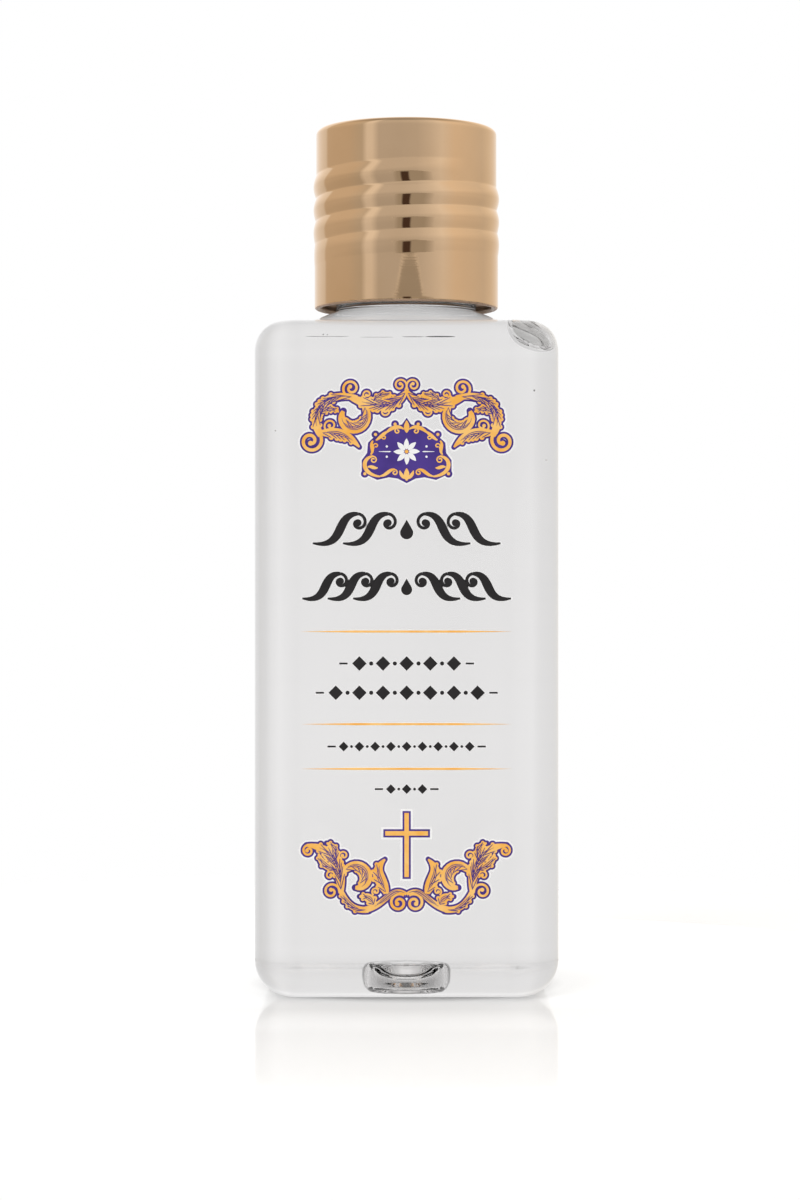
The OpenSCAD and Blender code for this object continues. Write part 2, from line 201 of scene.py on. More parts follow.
def emboss(pattern, strength, distance):
    """Raise a finish a little with a pattern."""
    tree = pattern.id_data
    bump = node_of(tree, "ShaderNodeBump", {"Height": pattern, "Strength": strength, "Distance": distance})
    link(bump.outputs["Normal"], tree.nodes["Principled BSDF"].inputs["Normal"])


def show_mix(share, first, second):
    """Show a mix of two shaders, by the share of the second."""
    tree = share.id_data
    mix = node_of(tree, "ShaderNodeMixShader", {0: share, 1: first.outputs[0], 2: second.outputs[0]})
    link(mix.outputs[0], tree.nodes["Material Output"].inputs["Surface"])


# ---- finishes

# Tint that weakens the gloss of clear faces that are seen straight on
DIM_GLOSS = (0.1, 0.1, 0.1, 1)


def clear_plastic():
    mat, tree = finish_named("clear_plastic", Transmission_Weight=1.0, IOR=1.57, Specular_Tint=DIM_GLOSS,
                             Base_Color=(0.98, 0.978, 0.978, 1))
    flow = noise_of(tree, 70, 1.0, (1, 1, 0.45))
    vary("Roughness", flow, 0.0, 0.02)
    emboss(flow, 0.01, 0.001)
    return mat


def clear_water(name, dark, light):
    mat, tree = finish_named(name, Transmission_Weight=1.0, IOR=1.333, Roughness=0.0, Specular_Tint=DIM_GLOSS)
    vary("Base Color", noise_of(tree, 25, 1.0), dark, light)
    return mat


def gold_metal():
    mat, tree = finish_named("gold_metal", Metallic=1.0)
    vary("Base Color", noise_of(tree, 120), (0.72, 0.49, 0.295), (0.76, 0.525, 0.325))
    spun = noise_of(tree, 9, 2.0, (2, 2, 600))
    vary("Roughness", spun, 0.03, 0.055)
    emboss(spun, 0.004, 0.0002)
    return mat


def lacquer_and_painted_shade():
    """Browner and duller coat on the inside of the shell: partly a lacquer coat, partly painted shade for the dim
    space under the lip.
    """
    mat, tree = finish_named("lacquer_and_painted_shade", Metallic=0.25)
    cloud = noise_of(tree, 160, 2.0, (1, 1, 3))
    vary("Base Color", cloud, (0.76, 0.5, 0.33), (0.84, 0.58, 0.4))
    vary("Roughness", cloud, 0.3, 0.45)
    return mat


def moulded_plastic(name, light, dark, rough, grain):
    mat, tree = finish_named(name)
    cloud = noise_of(tree, 180, 3.0)
    vary("Base Color", cloud, dark, light)
    vary("Roughness", cloud, rough - 0.06, rough + 0.06)
    emboss(noise_of(tree, grain), 0.12, 0.0002)
    return mat


def ink(name, light, dark, patch):
    """Screen ink: even colour with a slow drift and a slightly rough skin."""
    mat, tree = finish_named(name)
    vary("Base Color", noise_of(tree, patch), dark, light, 0.15)
    vary("Roughness", noise_of(tree, 4000, 1.0), 0.4, 0.55)
    return mat


CLEAR = clear_plastic()
WATER = clear_water("clear_water", (0.972, 0.966, 0.965), (0.98, 0.974, 0.972))
# Darker water for the bubbles' walls: painted shade that makes the bubbles look grey
SHADED_BUBBLE_WATER = clear_water("bubble_painted_shade", (0.7, 0.7, 0.69), (0.78, 0.78, 0.77))
GOLD = gold_metal()
# Browner inside finish: lacquer inside the skirt, with painted shade under the lip and hem
GOLD_INSIDE_AND_SHADE = lacquer_and_painted_shade()
NATURAL = moulded_plastic("natural_plastic", (0.86, 0.87, 0.86), (0.8, 0.81, 0.8), 0.35, 900)
WHITE_PLASTIC = moulded_plastic("white_plastic", (0.86, 0.86, 0.84), (0.8, 0.8, 0.78), 0.4, 900)
WHITE_FOAM = moulded_plastic("white_foam", (0.88, 0.88, 0.86), (0.78, 0.78, 0.76), 0.8, 2600)
GOLD_INK = ink("gold_ink", (0.94, 0.56, 0.17), (0.9, 0.43, 0.06), 420)
PURPLE_INK = ink("purple_ink", (0.065, 0.03, 0.26), (0.045, 0.018, 0.2), 300)
BLACK_INK = ink("black_ink", (0.014, 0.012, 0.014), (0.008, 0.007, 0.008), 300)
WHITE_INK = ink("white_ink", (0.9, 0.9, 0.9), (0.84, 0.84, 0.85), 300)


# ---- mesh helpers

def mesh_of(name, verts, faces, material):
    mesh = bpy.data.meshes.new(name)
    mesh.from_pydata(verts, [], faces)
    mesh.materials.append(material)
    return mesh


def face_outwards(mesh):
    work = bmesh.new()
    work.from_mesh(mesh)
    bmesh.ops.recalc_face_normals(work, faces=work.faces)
    work.to_mesh(mesh)
    work.free()


def skin(name, rings, material):
    """Closed mesh over rings of points, in millimetres; a ring of one point is a pole."""
    verts, faces, starts = [], [], []
    for ring in rings:
        starts.append(len(verts))
        verts += [(x * MM, y * MM, z * MM) for x, y, z in ring]
    for i in range(len(rings) - 1):
        a, b, na, nb = starts[i], starts[i + 1], len(rings[i]), len(rings[i + 1])
        n = max(na, nb)
        for k in range(n):
            m = (k + 1) % n
            if na == 1:
                faces.append((a, b + k, b + m))
            elif nb == 1:
                faces.append((a + m, a + k, b))
            else:
                faces.append((a + m, a + k, b + k, b + m))
    mesh = mesh_of(name, verts, faces, material)
    face_outwards(mesh)
    mesh.polygons.foreach_set("use_smooth", [True] * len(mesh.polygons))
    return mesh


def polar(r, a, centre=(0, 0)):
    """Point at a radius and an angle round a centre."""
    return centre[0] + r * math.cos(a), centre[1] + r * math.sin(a)


def arc(centre_r, centre_z, r, first, last, steps):
    """Points of an arc in a section, from one angle to another."""
    angles = [math.radians(first + (last - first) * i / steps) for i in range(steps + 1)]
    return [polar(r, a, (centre_r, centre_z)) for a in angles]


def eased(t):
    t = min(1, max(0, t))
    return t * t * (3 - 2 * t)


def linked(name, mesh):
    obj = bpy.data.objects.new(name, mesh)
    bpy.context.scene.collection.objects.link(obj)
    return obj


def piece(name, mesh, body, node):
    obj = linked(name, mesh)
    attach(obj, body)
    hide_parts(node)
    return obj


def joined(name, meshes):
    """One mesh out of several, each with its own material."""
    out = bmesh.new()
    mats = []
    for mesh in meshes:
        before = len(out.faces)
        out.from_mesh(mesh)
        out.faces.ensure_lookup_table()
        mat = mesh.materials[0]
        if mat not in mats:
            mats.append(mat)
        for face in out.faces[before:]:
            face.material_index = mats.index(mat)
    result = bpy.data.meshes.new(name)
    out.to_mesh(result)
    out.free()
    for mat in mats:
        result.materials.append(mat)
    return result


# ---- geometry node helpers

def geo_tree(name, **inputs):
    """Empty geometry tree with a geometry in and out, these named inputs, each with its kind, and a material."""
    tree = bpy.data.node_groups.new(name, "GeometryNodeTree")
    for label, kind in {"Geometry": "Geometry", **inputs, "Material": "Material"}.items():
        tree.interface.new_socket(label, in_out="INPUT", socket_type="NodeSocket" + kind)
    tree.interface.new_socket("Geometry", in_out="OUTPUT", socket_type="NodeSocketGeometry")
    return tree, tree.nodes.new("NodeGroupInput").outputs, tree.nodes.new("NodeGroupOutput").inputs[0]


def close_tree(tree, geometry, given, out):
    """Realize Instances and Set Material at the end of a tree."""
    real = node_of(tree, "GeometryNodeRealizeInstances", {"Geometry": geometry})
    coat = node_of(tree, "GeometryNodeSetMaterial", {0: real.outputs[0], "Material": given["Material"]})
    link(coat.outputs["Geometry"], out)


def set_copies(tree, given, points, turn, out):
    """Copies of what is given, on points and turned, as the end of a tree."""
    inputs = {"Points": points.outputs[0], "Instance": given["Geometry"], "Rotation": turn}
    copies = node_of(tree, "GeometryNodeInstanceOnPoints", inputs)
    close_tree(tree, copies.outputs[0], given, out)


def grown(name, base, tree, **settings):
    """Plain mesh that a geometry tree makes out of a base mesh."""
    obj = linked(name, base)
    modifier = obj.modifiers.new(name, "NODES")
    modifier.node_group = tree
    for item in tree.interface.items_tree:
        if item.item_type == "SOCKET" and item.in_out == "INPUT" and item.name in settings:
            modifier[item.identifier] = settings[item.name]
    graph = bpy.context.evaluated_depsgraph_get()
    mesh = bpy.data.meshes.new_from_object(obj.evaluated_get(graph), preserve_all_data_layers=True, depsgraph=graph)
    obj.modifiers.remove(modifier)
    bpy.data.objects.remove(obj)
    return mesh


# ---- bottle and water

def ring_bearings():
    """Bearings of the points of one ring: close together round the corners, wider along the panels."""
    panel_steps, corner_steps = 16, 22
    inner = BODY_HALF - CORNER_R
    first = [math.atan2(inner * (2 * i / panel_steps - 1), BODY_HALF) for i in range(panel_steps)]
    corner = [math.atan2(inner + CORNER_R * math.sin(a), inner + CORNER_R * math.cos(a))
              for a in (math.pi / 2 * i / corner_steps for i in range(corner_steps))]
    return [quarter * math.pi / 2 + b for quarter in range(4) for b in first + corner]


BEARINGS = ring_bearings()
# Steps round the heel or the shoulder, and up the wall between them
ROUND_STEPS, WALL_STEPS = 14, 12


def plan_ring(half, corner, z):
    """Ring of the bottle's plan: a square of that half width and corner radius, or a circle where they are equal."""
    ring = []
    for bearing in BEARINGS:
        fold = bearing % (math.pi / 2)
        fold = min(fold, math.pi / 2 - fold)
        c = half - corner
        if half * math.tan(fold) <= c:
            r = half / math.cos(fold)
        else:
            along = c * (math.cos(fold) + math.sin(fold))
            r = along + math.sqrt(max(0, along * along - 2 * c * c + corner * corner))
        ring.append((*polar(r, bearing), z))
    return ring


def lathe(section):
    """Round rings at the points of a section, each a radius and a height."""
    return [plan_ring(r, r, z) for r, z in section]


def thread_ring(z):
    """Ring of the neck at one height of its thread."""
    ring = []
    for bearing in BEARINGS:
        lift = 0
        for turn in range(-1, 3):
            run = bearing / TAU + turn
            if 0 <= run <= THREAD_TURNS:
                off = abs(z - THREAD_Z - THREAD_PITCH * run)
                fade = min(1, THREAD_FADE * run, THREAD_FADE * (THREAD_TURNS - run))
                lift = max(lift, fade * eased((THREAD_REACH - off) / THREAD_FLANK))
        r = NECK_R + THREAD_OUT * lift
        ring.append((*polar(r, bearing), z))
    return ring


def tank_rings(inset, low_z, high_z, heel_r, shoulder_r):
    """Rings of the body's wall, upwards from the inner edge of the heel to the inner edge of the shoulder."""
    half, corner = BODY_HALF - inset, CORNER_R - inset
    foot, top = low_z + heel_r, high_z - shoulder_r
    quarter = [math.pi / 2 * i / ROUND_STEPS for i in range(ROUND_STEPS + 1)]
    rings = []
    for a in quarter:
        step = heel_r * (1 - math.sin(a))
        rings.append(plan_ring(half - step, corner - step, low_z + heel_r * (1 - math.cos(a))))
    rings += [plan_ring(half, corner, foot + (top - foot) * i / WALL_STEPS) for i in range(1, WALL_STEPS)]
    for a in quarter:
        step = shoulder_r * (1 - math.cos(a) ** SOFTNESS)
        rings.append(plan_ring(half - step, corner - step, top + shoulder_r * math.sin(a) ** SOFTNESS))
    return rings


def spread_rings(half, corner, r, z, steps):
    """Rings on a level that change from a square plan to a circle."""
    rings = []
    for i in range(1, steps):
        t = i / steps
        width = half + (r - half) * t
        rings.append(plan_ring(width, corner + (r - corner) * t * t, z))
    return rings


def base_rings(foot_r, z):
    """Rings of the base from the heel's square edge to the round foot of the push-up."""
    return spread_rings(BODY_HALF - HEEL_R, CORNER_R - HEEL_R, foot_r + FOOT_BLEND, z, 6)


def top_rings(z):
    """Rings of the flat top from the shoulder's square edge to the foot of the cone."""
    return spread_rings(BODY_HALF - SHOULDER_R, CORNER_R - SHOULDER_R, CONE_FOOT_R, z, 5)


def pushup_rings(grow, low_z, high_z):
    """Rings of the push-up's cone from its top, over a rounded edge and a straight flank, to its foot."""
    top, foot = PUSHUP_R + grow, FOOT_R + grow
    section = [(top * 0.55, high_z), (top - 0.45, high_z), (top - 0.12, high_z - 0.05), (top + 0.08, high_z - 0.2)]
    section += [(top + 0.08 + (foot - top - 0.2) * i / 4, high_z - 0.2 - (high_z - low_z - 0.38) * i / 4)
                for i in range(1, 5)]
    section += [(foot + 0.1, low_z + 0.05), (foot + FOOT_BLEND, low_z)]
    return lathe(section)


def bottle_mesh():
    """Bottle from the middle of its gate nub, up its outside, over the rim and down its inside."""
    nub = [(GATE_TIP_R * 0.5, GATE_GAP), (GATE_TIP_R - 0.3, GATE_GAP + 0.02), (GATE_TIP_R - 0.05, GATE_GAP + 0.12),
           (GATE_TIP_R + 0.08, GATE_GAP + 0.35), (3.2, 1.5), (GATE_R - 0.12, 2.3), (GATE_R + 0.05, 2.6),
           (GATE_R + 0.35, PUSHUP_H)]
    neck = [(r, BODY_H + rise) for r, rise in CONE_FLANK + CONE_NECK]
    neck += [(NECK_R, COLLAR_Z - 0.25), (NECK_R + 0.1, COLLAR_Z - 0.05)]
    collar_top, edge = COLLAR_Z + COLLAR_T, COLLAR_EDGE_R
    neck += arc(COLLAR_R - edge, COLLAR_Z + edge, edge, -90, 0, 4)
    neck += arc(COLLAR_R - edge, collar_top - edge, edge, 0, 90, 4)
    neck += [(NECK_R + 0.1, collar_top + 0.05), (NECK_R, collar_top + 0.25), (NECK_R, 109)]
    bore = arc(NECK_R - RIM_EDGE_R, RIM_Z - RIM_EDGE_R, RIM_EDGE_R, 0, 90, 4)
    bore += arc(BORE_R + RIM_EDGE_R, RIM_Z - RIM_EDGE_R, RIM_EDGE_R, 90, 180, 4)
    bore += [(BORE_R, 116), (BORE_R, 110)]
    bore += [(r, BODY_H - WALL_T + rise) for r, rise in (CONE_FLANK + CONE_BORE)[::-1]]
    rings = [[(0, 0, GATE_GAP)]] + lathe(nub) + pushup_rings(0, 0, PUSHUP_H)[1:] + base_rings(FOOT_R, 0)[::-1]
    rings += tank_rings(0, 0, BODY_H, HEEL_R, SHOULDER_R) + top_rings(BODY_H) + lathe(neck)
    rings += [thread_ring(THREAD_LOW + THREAD_STEP * i) for i in range(THREAD_RINGS)]
    rings += lathe(bore) + top_rings(BODY_H - WALL_T)[::-1]
    rings += tank_rings(WALL_T, FLOOR_T, BODY_H - WALL_T, HEEL_R - WALL_T, SHOULDER_R - WALL_T)[::-1]
    rings += base_rings(FOOT_R + WALL_T, FLOOR_T) + pushup_rings(WALL_T, FLOOR_T, FLOOR_T + PUSHUP_H)[::-1]
    rings.append([(0, 0, FLOOR_T + PUSHUP_H)])
    return skin("bottle_body_clear", rings, CLEAR)


def ball(centre, radii, lean=0, rows=20, columns=28):
    """Closed ellipsoid as rings, for a bubble, that drops by the share lean towards its right."""
    x, y, z = centre
    rings = [[(x, y, z - radii[2])]]
    for i in range(1, rows):
        a = math.pi * i / rows - math.pi / 2
        ring = []
        for b in (TAU * k / columns for k in range(columns)):
            right, back = radii[0] * math.cos(a) * math.cos(b), radii[1] * math.cos(a) * math.sin(b)
            ring.append((x + right, y + back, z + radii[2] * math.sin(a) - lean * right))
        rings.append(ring)
    rings.append([(x, y, z + radii[2])])
    return rings


def water_mesh():
    """Water from the middle of the push-up, up the wall to its surface in the neck, with its bubbles."""
    inset = WALL_T - WATER_SINK
    low, high = FLOOR_T - WATER_SINK, BODY_H - inset
    neck = BORE_R + WATER_SINK
    section = [(r, high + rise) for r, rise in CONE_FLANK]
    section += [(r + WATER_SINK, high + rise) for r, rise in CONE_BORE]
    section += [(neck, WATER_TOP), (neck - 0.3, WATER_TOP - 0.02), (BORE_R - 0.4, WATER_TOP - 0.3),
                (BORE_R - 1.2, WATER_TOP - 0.5), (4, WATER_TOP - MENISCUS)]
    rings = [[(0, 0, low + PUSHUP_H)]] + pushup_rings(inset, low, low + PUSHUP_H)
    rings += base_rings(FOOT_R + inset, low)[::-1]
    rings += tank_rings(inset, low, high, HEEL_R - inset, SHOULDER_R - inset) + top_rings(high) + lathe(section)
    rings.append([(0, 0, WATER_TOP - MENISCUS)])
    # A large bubble under the right shoulder, a thin streak along the front and a few specks
    bubbles = [((17.9, -17.2, 97.3), (3.1, 3.1, 1.9), 0.3, 32, 44)]
    streak_y, speck_y = -21.5, -21.6
    streak = [(-11.6, 97.1, 3.2, 0.035), (-4.4, 97.0, 2.6, 0.03), (1, 97.05, 1.7, 0.05), (4.9, 97.05, 2.2, 0.11)]
    bubbles += [((x, streak_y, z), (long, 0.4, thick)) for x, z, long, thick in streak]
    specks = [(18.6, 89.3, 0.14), (20.4, 79.1, 0.12), (-19.2, 83.4, 0.12), (-12.2, 97.4, 0.1), (-11.6, 97.35, 0.07)]
    bubbles += [((x, speck_y, z), (size, 0.2, size)) for x, z, size in specks]
    # The bubbles' walls take the darker water: painted shade that greys them
    hollows = joined("bubbles", [skin("bubble", ball(*bubble), SHADED_BUBBLE_WATER) for bubble in bubbles])
    hollows.flip_normals()
    return joined("water_fill", [skin("water_full", rings, WATER), hollows])


# ---- cap

def bead_tree():
    """Geometry tree that raises a right-hand spiral bead on the marked wall of a turned shell."""
    measures = ("Pitch", "Turns", "Width", "Height", "Foot", "Start")
    tree, given, out = geo_tree("spiral_bead", **dict.fromkeys(measures, "Float"))
    position = tree.nodes.new("GeometryNodeInputPosition").outputs[0]
    place = node_of(tree, "ShaderNodeSeparateXYZ", {0: position}).outputs
    bearing = math_of("ARCTAN2", place["Y"], place["X"])
    share = math_of("FRACT", math_of("DIVIDE", math_of("SUBTRACT", bearing, given["Start"]), TAU))
    climb = math_of("DIVIDE", math_of("SUBTRACT", place["Z"], given["Foot"]), given["Pitch"])
    level = math_of("SUBTRACT", climb, share)
    turn = math_of("ROUND", level)
    off = product(math_of("ABSOLUTE", math_of("SUBTRACT", level, turn)), given["Pitch"])
    flank = clamped(math_of("DIVIDE", product(off, 2.0), given["Width"]))
    crown = math_of("COSINE", product(flank, math.pi / 2))
    run = math_of("ADD", turn, share)
    rise = clamped(product(run, BEAD_FADE))
    fall = clamped(product(math_of("SUBTRACT", given["Turns"], run), BEAD_FADE))
    mark = node_of(tree, "GeometryNodeInputNamedAttribute", {"Name": "wall"}, data_type="FLOAT")
    lift = product(crown, given["Height"], rise, fall, mark.outputs["Attribute"])
    outward = node_of(tree, "ShaderNodeCombineXYZ", {"X": product(math_of("COSINE", bearing), lift),
                                                     "Y": product(math_of("SINE", bearing), lift)})
    move = node_of(tree, "GeometryNodeSetPosition", {"Geometry": given["Geometry"], "Offset": outward.outputs[0]})
    close_tree(tree, move.outputs["Geometry"], given, out)
    return tree


def shell_mesh():
    """Turned shell from the middle of its top, down its outside, round the hem and up its inside."""
    count, steps = 240, 150
    top = [(4, CAP_TOP), (9, CAP_TOP), (SHELL_R - CAP_EDGE_R - 0.6, CAP_TOP)]
    top += arc(SHELL_R - CAP_EDGE_R, CAP_TOP - CAP_EDGE_R, CAP_EDGE_R, 90, 0, 10)
    high, low = CAP_TOP - CAP_EDGE_R - 0.3, LIP_Z + HEM_R + 0.2
    wall = []
    for i in range(steps + 1):
        z = high - (high - low) * i / steps
        spread = eased((WALL_SPREAD_TOP - z) / (WALL_SPREAD_TOP - WALL_SPREAD_LOW))
        wall.append((SHELL_R + (SKIRT_R - SHELL_R) * spread, z))
    hem = arc(SKIRT_R - HEM_R, LIP_Z + HEM_R, HEM_R, 0, -215, 20)
    inside = [(SKIRT_IN_R, LIP_Z + 0.75), (SKIRT_IN_R - 0.35, LIP_Z + 1.4), (SKIRT_IN_R - 0.95, CORE_FOOT - 0.3),
              (SKIRT_IN_R - 0.9, CORE_FOOT - 0.1), (SHELL_IN_R, CORE_FOOT - 0.05),
              (SHELL_IN_R, 112), (SHELL_IN_R, 124), (SHELL_IN_R, CAP_CEILING), (6, CAP_CEILING)]
    rings = [[(0, 0, CAP_TOP)]]
    rings += [[(*polar(r, TAU * k / count), z) for k in range(count)] for r, z in top + wall + hem + inside]
    rings.append([(0, 0, CAP_CEILING)])
    turned = skin("cap_shell_turned", rings, GOLD)
    # The bead stands out less where the wall has already spread
    mark = turned.attributes.new("wall", "FLOAT", "POINT")
    values = [0.0] * len(turned.vertices)
    for ring, (r, _) in enumerate(wall, len(top)):
        first = 1 + ring * count
        values[first:first + count] = [1 - (r - SHELL_R) / BEAD_OUT] * count
    mark.data.foreach_set("value", values)
    mesh = grown("cap_shell_gold", turned, bead_tree(), Pitch=BEAD_PITCH * MM, Turns=BEAD_TURNS,
                 Width=BEAD_PITCH * MM, Height=BEAD_OUT * MM, Foot=BEAD_FOOT * MM, Start=math.radians(BEAD_START),
                 Material=GOLD)
    # The browner finish covers the inside of the skirt up to the core, as lacquer that also carries painted shade,
    # and the underside of the hem, as painted shade
    mesh.materials.append(GOLD_INSIDE_AND_SHADE)
    for face in mesh.polygons:
        x, y, z = face.center / MM
        # Faces of the hem that face down get the browner finish: painted shade
        under = z < LIP_Z + HEM_R and face.normal.z < -0.6
        within = math.hypot(x, y) < SKIRT_IN_R + 0.15 and z < CORE_FOOT + 0.2
        if under or within:
            face.material_index = 1
    return mesh


# ---- print

def bezier(p, t):
    u = 1 - t
    return tuple(u * u * u * p[0][i] + 3 * u * u * t * p[1][i] + 3 * u * t * t * p[2][i] + t * t * t * p[3][i]
                 for i in (0, 1))


def stem(p, steps=18):
    return [bezier(p, i / steps) for i in range(steps + 1)]


def volute(c, r0, r1, bearing, turns):
    steps = math.ceil(abs(turns) * 26)
    path = []
    for i in range(steps + 1):
        t = i / steps
        r, a = r0 + (r1 - r0) * t, math.radians(bearing + 360 * turns * t)
        path.append(polar(r, a, c))
    return path


def swell(w, t):
    return w[0] * (1 - t) * (1 - 2 * t) + 4 * w[1] * t * (1 - t) + w[2] * t * (2 * t - 1)


def disc(c, r, count=20):
    return [polar(r, TAU * k / count, c) for k in range(count)]


def across(path, i):
    a, b = path[max(i - 1, 0)], path[min(i + 1, len(path) - 1)]
    length = math.hypot(b[0] - a[0], b[1] - a[1])
    return (a[1] - b[1]) / length, (b[0] - a[0]) / length


def stroke(path, w, grow=0.0, shift=0.0, part=(0, 1)):
    """Brush stroke as convex patches: grown all round, moved sideways by shares of its width, or only part of it."""
    last = len(path) - 1
    first, stop = round(part[0] * last), round(part[1] * last)
    sides = []
    for i in range(first, stop + 1):
        nx, ny = across(path, i)
        wide = max(0.02, swell(w, (i - first) / (stop - first)))
        mid = shift * wide
        x, y = path[i][0] + nx * mid, path[i][1] + ny * mid
        half = wide / 2 + grow
        sides.append(((x + nx * half, y + ny * half), (x - nx * half, y - ny * half)))
    patches = []
    for (a, b), (c, d) in zip(sides, sides[1:]):
        patch = [a, c, d, b]
        if convex(patch):
            patches.append(patch)
        else:
            patches += [disc(((p[0] + q[0]) / 2, (p[1] + q[1]) / 2), math.dist(p, q) / 2)
                        for p, q in ((a, b), (c, d))]
    if grow:
        patches += [disc(path[i], max(0.02, swell(w, t)) / 2 + grow) for i, t in ((first, 0), (stop, 1))]
    return patches


def convex(patch):
    turns = [(b[0] - a[0]) * (c[1] - b[1]) - (b[1] - a[1]) * (c[0] - b[0])
             for a, b, c in zip(patch, patch[1:] + patch[:1], patch[2:] + patch[:2])]
    return min(turns) > 0 or max(turns) < 0


def counter_clockwise(patch):
    area = sum(a[0] * b[1] - b[0] * a[1] for a, b in zip(patch, patch[1:] + patch[:1]))
    return patch if area > 0 else patch[::-1]


def film(name, patches, centre_z, back, front, material):
    """Closed film of ink over the union of convex patches, from one depth to another outside the panel."""
    points, faces = [], []
    for patch in patches:
        faces.append(list(range(len(points), len(points) + len(patch))))
        points += [Vector(p) for p in counter_clockwise(patch)]
    flat, _, triangles, _, _, origins = delaunay_2d_cdt(points, [], faces, 0, 1e-4)
    triangles = [list(t) for t, origin in zip(triangles, origins) if origin]
    count = len(flat)
    verts = [(p.x * MM, (PANEL_Y - depth) * MM, (p.y + centre_z) * MM) for depth in (front, back) for p in flat]
    skins = [tuple(t) for t in triangles] + [tuple(i + count for i in reversed(t)) for t in triangles]
    border = {}
    for t in triangles:
        for a, b in zip(t, t[1:] + t[:1]):
            if (b, a) in border:
                del border[(b, a)]
            else:
                border[(a, b)] = None
    skins += [(b, a, a + count, b + count) for a, b in border]
    mesh = mesh_of(name, verts, skins, material)
    face_outwards(mesh)
    return mesh


def mirrored(patches):
    return [[(-x, y) for x, y in patch] for patch in patches]


def both_sides(patches):
    return patches + mirrored(patches)


def at(share):
    return PRINT_FOOT + share * PRINT_H


# Depths of the ink layers outside the panel: white ground, outline, fill and fine lines
GROUND, OUTLINE, FILL, FINE = (-0.01, 0.02), (0.005, 0.04), (0.025, 0.06), (0.045, INK_T)
# How far the white ground reaches past a thin mark
GROUND_MARGIN = 0.12

# Lobes of a stroke: a curl has none; a leaf has them on neither side, on its left or right, or on both
CURL, BARE, LEFT, RIGHT, BOTH = None, (), (1,), (-1,), (1, -1)


def leaf(a, b, c, d, w, lobes_at=BARE):
    """Stroke along a curve, with lobes."""
    return stem([a, b, c, d]), w, lobes_at


def curl(c, r0, r1, bearing, turns, w):
    """Stroke of one width along a volute."""
    return volute(c, r0, r1, bearing, turns), (w, w, w), CURL


# Strokes of the right half of each scroll: path, widths and lobes
UPPER = [
    leaf((0, 3.9), (1.2, 1.4), (4.6, 1.1), (8.4, 3), (0.4, 1.7, 0.7), BOTH),
    curl((0.95, 4.65), 1.02, 0.22, 225, -1.35, 0.28),
    leaf((7.2, 2.8), (12.6, 4.1), (14.4, -0.2), (12.5, -2.7), (0.7, 1.3, 0.9), BOTH),
    curl((8.1, 4.2), 1.25, 0.28, -50, 1.3, 0.36),
    curl((14, -3.5), 1.65, 0.33, 150, 1.35, 0.48),
    (volute((7.9, 0.2), 2.25, 1.5, 120, 0.74), (0.5, 1.6, 0.5), LEFT),
    leaf((12.6, -2.3), (10.6, -2.3), (8.8, -2.1), (6.9, -4.4), (0.7, 1.5, 0.25), LEFT),
    leaf((12.8, 0.2), (11.8, 1.5), (10.6, 1.4), (9.9, 0.7), (0.5, 0.9, 0.2), BOTH),
    curl((11.1, -1.25), 0.95, 0.2, -40, 1.1, 0.28),
    leaf((5, 2.1), (4.2, 3.4), (3, 3.5), (2, 3.1), (0.4, 0.8, 0.2), RIGHT),
    curl((5.75, 3.3), 0.7, 0.18, -90, 1.1, 0.26),
    curl((3.2, 0.8), 0.75, 0.18, 120, 1.1, 0.26),
]
LOWER = [
    leaf((0, -2.75), (2.2, -1.2), (3, -4.4), (6, -5), (0.45, 0.75, 0.9)),
    leaf((5.6, -5), (8.2, -5.3), (9, -3.6), (9.7, -2.1), (0.9, 0.9, 0.7), RIGHT),
    leaf((9.6, -2.6), (9.5, 0.6), (10.3, 4.2), (14.6, 4.4), (0.7, 1.6, 0.4), BOTH),
    curl((14.35, 3.6), 0.82, 0.2, 75, -1.2, 0.32),
    curl((1.15, -4), 1.35, 0.28, 126, -1.45, 0.4),
    curl((11, -2.35), 1.2, 0.25, 170, -1.25, 0.34),
    (volute((7.4, -0.45), 2.05, 1.35, 15, 0.72), (0.5, 1.6, 0.5), LEFT),
    leaf((3, -2.7), (3.2, -1), (5.4, 0.3), (3.15, 2.35), (0.7, 1.7, 0.25), RIGHT),
    leaf((4.8, -4.4), (5, -3.4), (5.8, -3), (6.9, -3.1), (0.7, 1.3, 0.25), BOTH),
    leaf((10, 0.9), (11.4, 0.8), (12.8, 2), (12.8, 3.2), (0.4, 1, 0.25), RIGHT),
    leaf((10.3, 2.2), (10.1, 3.6), (10.7, 4.5), (11.7, 4.7), (0.4, 0.9, 0.25), LEFT),
    curl((4.5, -2.35), 0.62, 0.16, -60, 1.1, 0.24),
    curl((11.2, 0), 0.72, 0.18, 200, -1.1, 0.26),
    curl((9.2, 2.9), 0.72, 0.18, -40, 1.1, 0.26),
]


# Fine lines along a leaf, as widths, shift to the side and part of its length, and the line into a lobe
VEINS = [((0.05, 0.14, 0.03), 0, (0.08, 0.86)), ((0.04, 0.1, 0.03), 2.6, (0.2, 0.75)),
         ((0.04, 0.1, 0.03), -2.6, (0.15, 0.7))]
LOBE_VEIN = (0.04, 0.12, 0.06)
# How far a scroll's white ground and its outline reach past its fill
SCROLL_GROUND, SCROLL_OUTLINE = 0.52, 0.27


def lobes(path, w, sides):
    """Round lobes along the sides of a leaf: foot of the vein, middle and radius of each."""
    last = len(path) - 1
    length = sum(math.dist(a, b) for a, b in zip(path, path[1:]))
    count = max(2, round(length / 1.25))
    for side in sides:
        for k in range(count):
            t = 0.3 + 0.52 * k / (count - 1)
            i = round(t * last)
            nx, ny = across(path, i)
            wide = swell(w, t)
            reach = side * (wide / 2 - 0.02)
            yield path[max(0, i - 4)], (path[i][0] + nx * reach, path[i][1] + ny * reach), 0.13 * wide + 0.16


